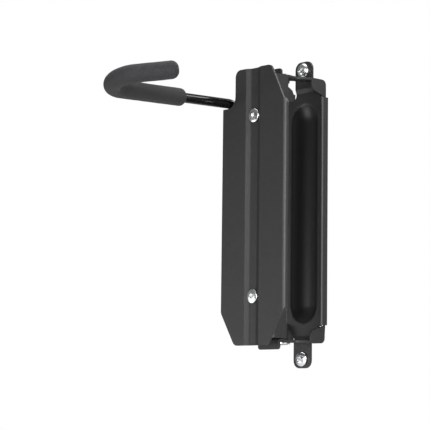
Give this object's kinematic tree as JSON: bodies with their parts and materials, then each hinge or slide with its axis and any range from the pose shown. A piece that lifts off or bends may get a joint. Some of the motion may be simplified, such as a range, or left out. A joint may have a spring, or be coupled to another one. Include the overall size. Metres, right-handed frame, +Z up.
{
  "type": "bicycle wall rack",
  "caption": "Black steel wall rack: a pressed wall bracket carries a swinging channel with a grooved tyre plate and a foam-sleeved hook that holds a wheel.",
  "frame": {"origin": "on the wall plane, midway between the two wall screws, where the trough's back bears on the wall", "axes": "+X right for somebody facing the wall, -Y out from the wall, +Z up"},
  "size_m": [0.0916, 0.2574, 0.3186],
  "materials": {
    "powder_coat": "satin, finely textured powder coat",
    "gloss_black": "gloss",
    "zinc_steel": "bright zinc plate",
    "foam": "matt closed-cell foam",
    "nylon": "matt"
  },
  "bodies": {
    "root": {"wall_pan": "powder_coat", "upper_pivot_arm": "powder_coat", "lower_pivot_arm": "powder_coat", "upper_wall_screw": "zinc_steel", "upper_wall_spacer": "zinc_steel", "upper_pivot_bolt": "zinc_steel", "upper_pivot_nut": "zinc_steel", "upper_friction_washer": "nylon", "lower_wall_screw": "zinc_steel", "lower_wall_spacer": "zinc_steel", "lower_pivot_bolt": "zinc_steel", "lower_pivot_nut": "zinc_steel", "lower_friction_washer": "nylon"},
    "swing": {"swing_channel": "powder_coat", "tyre_plate": "powder_coat", "hook_rod": "gloss_black", "hook_sleeve": "foam", "upper_pivot_bush": "nylon", "upper_plate_screw": "zinc_steel", "upper_plate_nut": "zinc_steel", "lower_pivot_bush": "nylon", "lower_plate_screw": "zinc_steel", "lower_plate_nut": "zinc_steel"}
  },
  "joints": [
    {"name": "swing_pivot", "type": "hinge", "parent": "root", "child": "swing", "pos_m": [0, -0.044, 0.002], "axis": [0, 0, 1], "range_deg": [-80, 80]}
  ]
}
